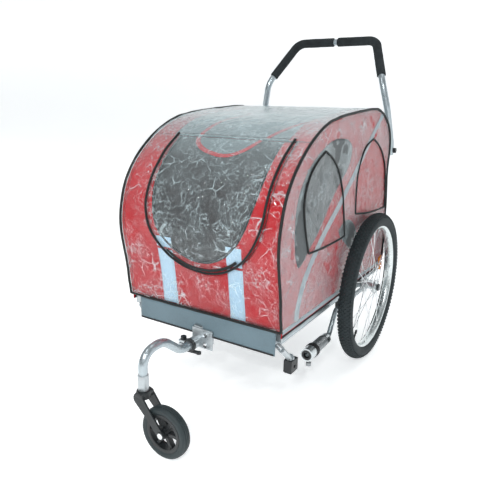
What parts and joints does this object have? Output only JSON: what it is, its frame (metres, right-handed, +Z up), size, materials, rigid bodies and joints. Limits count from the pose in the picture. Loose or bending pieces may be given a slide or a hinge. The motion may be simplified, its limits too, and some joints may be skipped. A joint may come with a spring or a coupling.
{
  "type": "child bicycle trailer",
  "caption": "Two-wheeled bicycle trailer with an enclosed cloth cabin on a folding tube frame, clear rain cover, front castor, push handle and tow arm.",
  "frame": {"origin": "centre of the ground footprint, midway across the width and along the length", "axes": "+X to the trailer's own left side, -Y to the front, +Z up"},
  "size_m": [0.635, 1.0901, 1.0773],
  "materials": {
    "silver_paint": "satin silver powder coat",
    "board": "matt textured board",
    "steel": "zinc plated",
    "chrome": "polished",
    "alloy": "brushed",
    "black_plastic": "moulded, fine grain",
    "tyre_rubber": "knobbed rubber",
    "reflector": "prismatic",
    "red_cloth": "coated woven polyester",
    "grey_cloth": "coated woven polyester",
    "window_mesh": "woven mesh",
    "clear_vinyl": "clear crinkled vinyl",
    "webbing": "woven webbing",
    "foam": "closed-cell foam"
  },
  "bodies": {
    "chassis": {"base_front_tube": "silver_paint", "base_rail_left": "silver_paint", "base_rail_right": "silver_paint", "base_cross_tubes": "silver_paint", "floor_board": "board", "hinge_lugs": "silver_paint", "axle_sleeves": "silver_paint", "wheel_axles": "steel", "rear_posts": "silver_paint", "corner_post": "silver_paint", "foot_block": "black_plastic", "tow_guides": "black_plastic", "castor_bracket": "silver_paint", "bracket_bolts": "chrome", "side_skirts": "red_cloth", "front_panel": "red_cloth", "roof_panel": "grey_cloth", "rear_panel": "red_cloth", "rain_cover": "clear_vinyl", "front_band": "grey_cloth", "seat_cushion": "grey_cloth", "seat_back": "grey_cloth", "harness": "webbing"},
    "clamp_lever": {"clamp_lever": "black_plastic"},
    "castor_arm": {"castor_arm": "silver_paint"},
    "castor_fork": {"castor_fork": "black_plastic", "castor_bolts": "steel"},
    "castor_wheel": {"castor_tyre": "tyre_rubber", "castor_rim": "black_plastic"},
    "wheel_left": {"tyre_left": "tyre_rubber", "rim_left": "alloy", "hub_left": "chrome", "spokes_left": "steel", "reflector_left": "reflector"},
    "wheel_right": {"tyre_right": "tyre_rubber", "rim_right": "alloy", "hub_right": "chrome", "spokes_right": "steel", "reflector_right": "reflector"},
    "hoop_left": {"hoop_tube_left": "silver_paint", "hoop_fittings_left": "black_plastic", "hoop_pins_left": "steel", "side_panel_left": "red_cloth", "rain_cover_left": "clear_vinyl"},
    "hoop_right": {"hoop_tube_right": "silver_paint", "hoop_fittings_right": "black_plastic", "hoop_pins_right": "steel", "side_panel_right": "red_cloth", "rain_cover_right": "clear_vinyl"},
    "bars_left": {"roof_bars_left": "silver_paint"},
    "bars_right": {"roof_bars_right": "silver_paint"},
    "front_flap": {"flap_panel": "window_mesh", "flap_cover": "clear_vinyl"},
    "handle": {"handle_tube": "silver_paint", "grips": "foam", "handle_knobs": "black_plastic"},
    "tow_arm": {"tow_tube": "silver_paint", "tow_spring": "alloy", "coupler": "alloy"},
    "hitch_plunger": {"hitch_plunger": "steel"}
  },
  "joints": [
    {"name": "wheel_left_spin", "type": "hinge", "parent": "chassis", "child": "wheel_left", "pos_m": [-0.284, 0.286, 0.25], "axis": [1, 0, 0], "continuous": true},
    {"name": "wheel_right_spin", "type": "hinge", "parent": "chassis", "child": "wheel_right", "pos_m": [0.284, 0.286, 0.25], "axis": [1, 0, 0], "continuous": true},
    {"name": "castor_arm_slide", "type": "slide", "parent": "chassis", "child": "castor_arm", "axis": [0, -1, 0], "range_m": [0, 0.06]},
    {"name": "clamp_lever_turn", "type": "hinge", "parent": "chassis", "child": "clamp_lever", "pos_m": [-0.026, -0.335, 0.188], "axis": [0, 0, -1], "range_deg": [0, 110]},
    {"name": "castor_swivel", "type": "hinge", "parent": "castor_arm", "child": "castor_fork", "pos_m": [0, -0.522, 0.15], "axis": [0, 0, 1], "continuous": true},
    {"name": "castor_wheel_spin", "type": "hinge", "parent": "castor_fork", "child": "castor_wheel", "pos_m": [0.068, -0.522, 0.067], "axis": [0, 1, 0], "continuous": true},
    {"name": "hoop_left_fold", "type": "hinge", "parent": "chassis", "child": "hoop_left", "pos_m": [-0.235, 0, 0.345], "axis": [0, 1, 0], "range_deg": [0, 90], "deforming": ["front_panel", "roof_panel", "rear_panel", "rain_cover", "seat_back", "harness", "flap_panel", "flap_cover"]},
    {"name": "hoop_right_fold", "type": "hinge", "parent": "chassis", "child": "hoop_right", "pos_m": [0.235, 0, 0.375], "axis": [0, -1, 0], "range_deg": [0, 90]},
    {"name": "bars_left_fold", "type": "hinge", "parent": "hoop_left", "child": "bars_left", "pos_m": [-0.235, 0.155, 0.756], "axis": [0, 1, 0], "range_deg": [0, 90]},
    {"name": "bars_right_fold", "type": "hinge", "parent": "hoop_right", "child": "bars_right", "pos_m": [0.235, 0.155, 0.756], "axis": [0, -1, 0], "range_deg": [0, 90]},
    {"name": "front_flap_open", "type": "hinge", "parent": "chassis", "child": "front_flap", "pos_m": [0.022, -0.172, 0.752], "axis": [-1, 0, 0], "range_deg": [0, 100]},
    {"name": "handle_fold", "type": "hinge", "parent": "chassis", "child": "handle", "pos_m": [0, 0.512, 0.69], "axis": [-1, 0, 0], "range_deg": [0, 170]},
    {"name": "tow_arm_slide", "type": "slide", "parent": "chassis", "child": "tow_arm", "axis": [0, -1, 0], "range_m": [0, 0.24]},
    {"name": "hitch_plunger_push", "type": "slide", "parent": "tow_arm", "child": "hitch_plunger", "axis": [0, 0, 1], "range_m": [0, 0.008]}
  ],
  "couplings": [
    {"joint": "bars_left_fold", "follows": "hoop_left_fold", "ratio": 1},
    {"joint": "bars_right_fold", "follows": "hoop_right_fold", "ratio": 1}
  ]
}
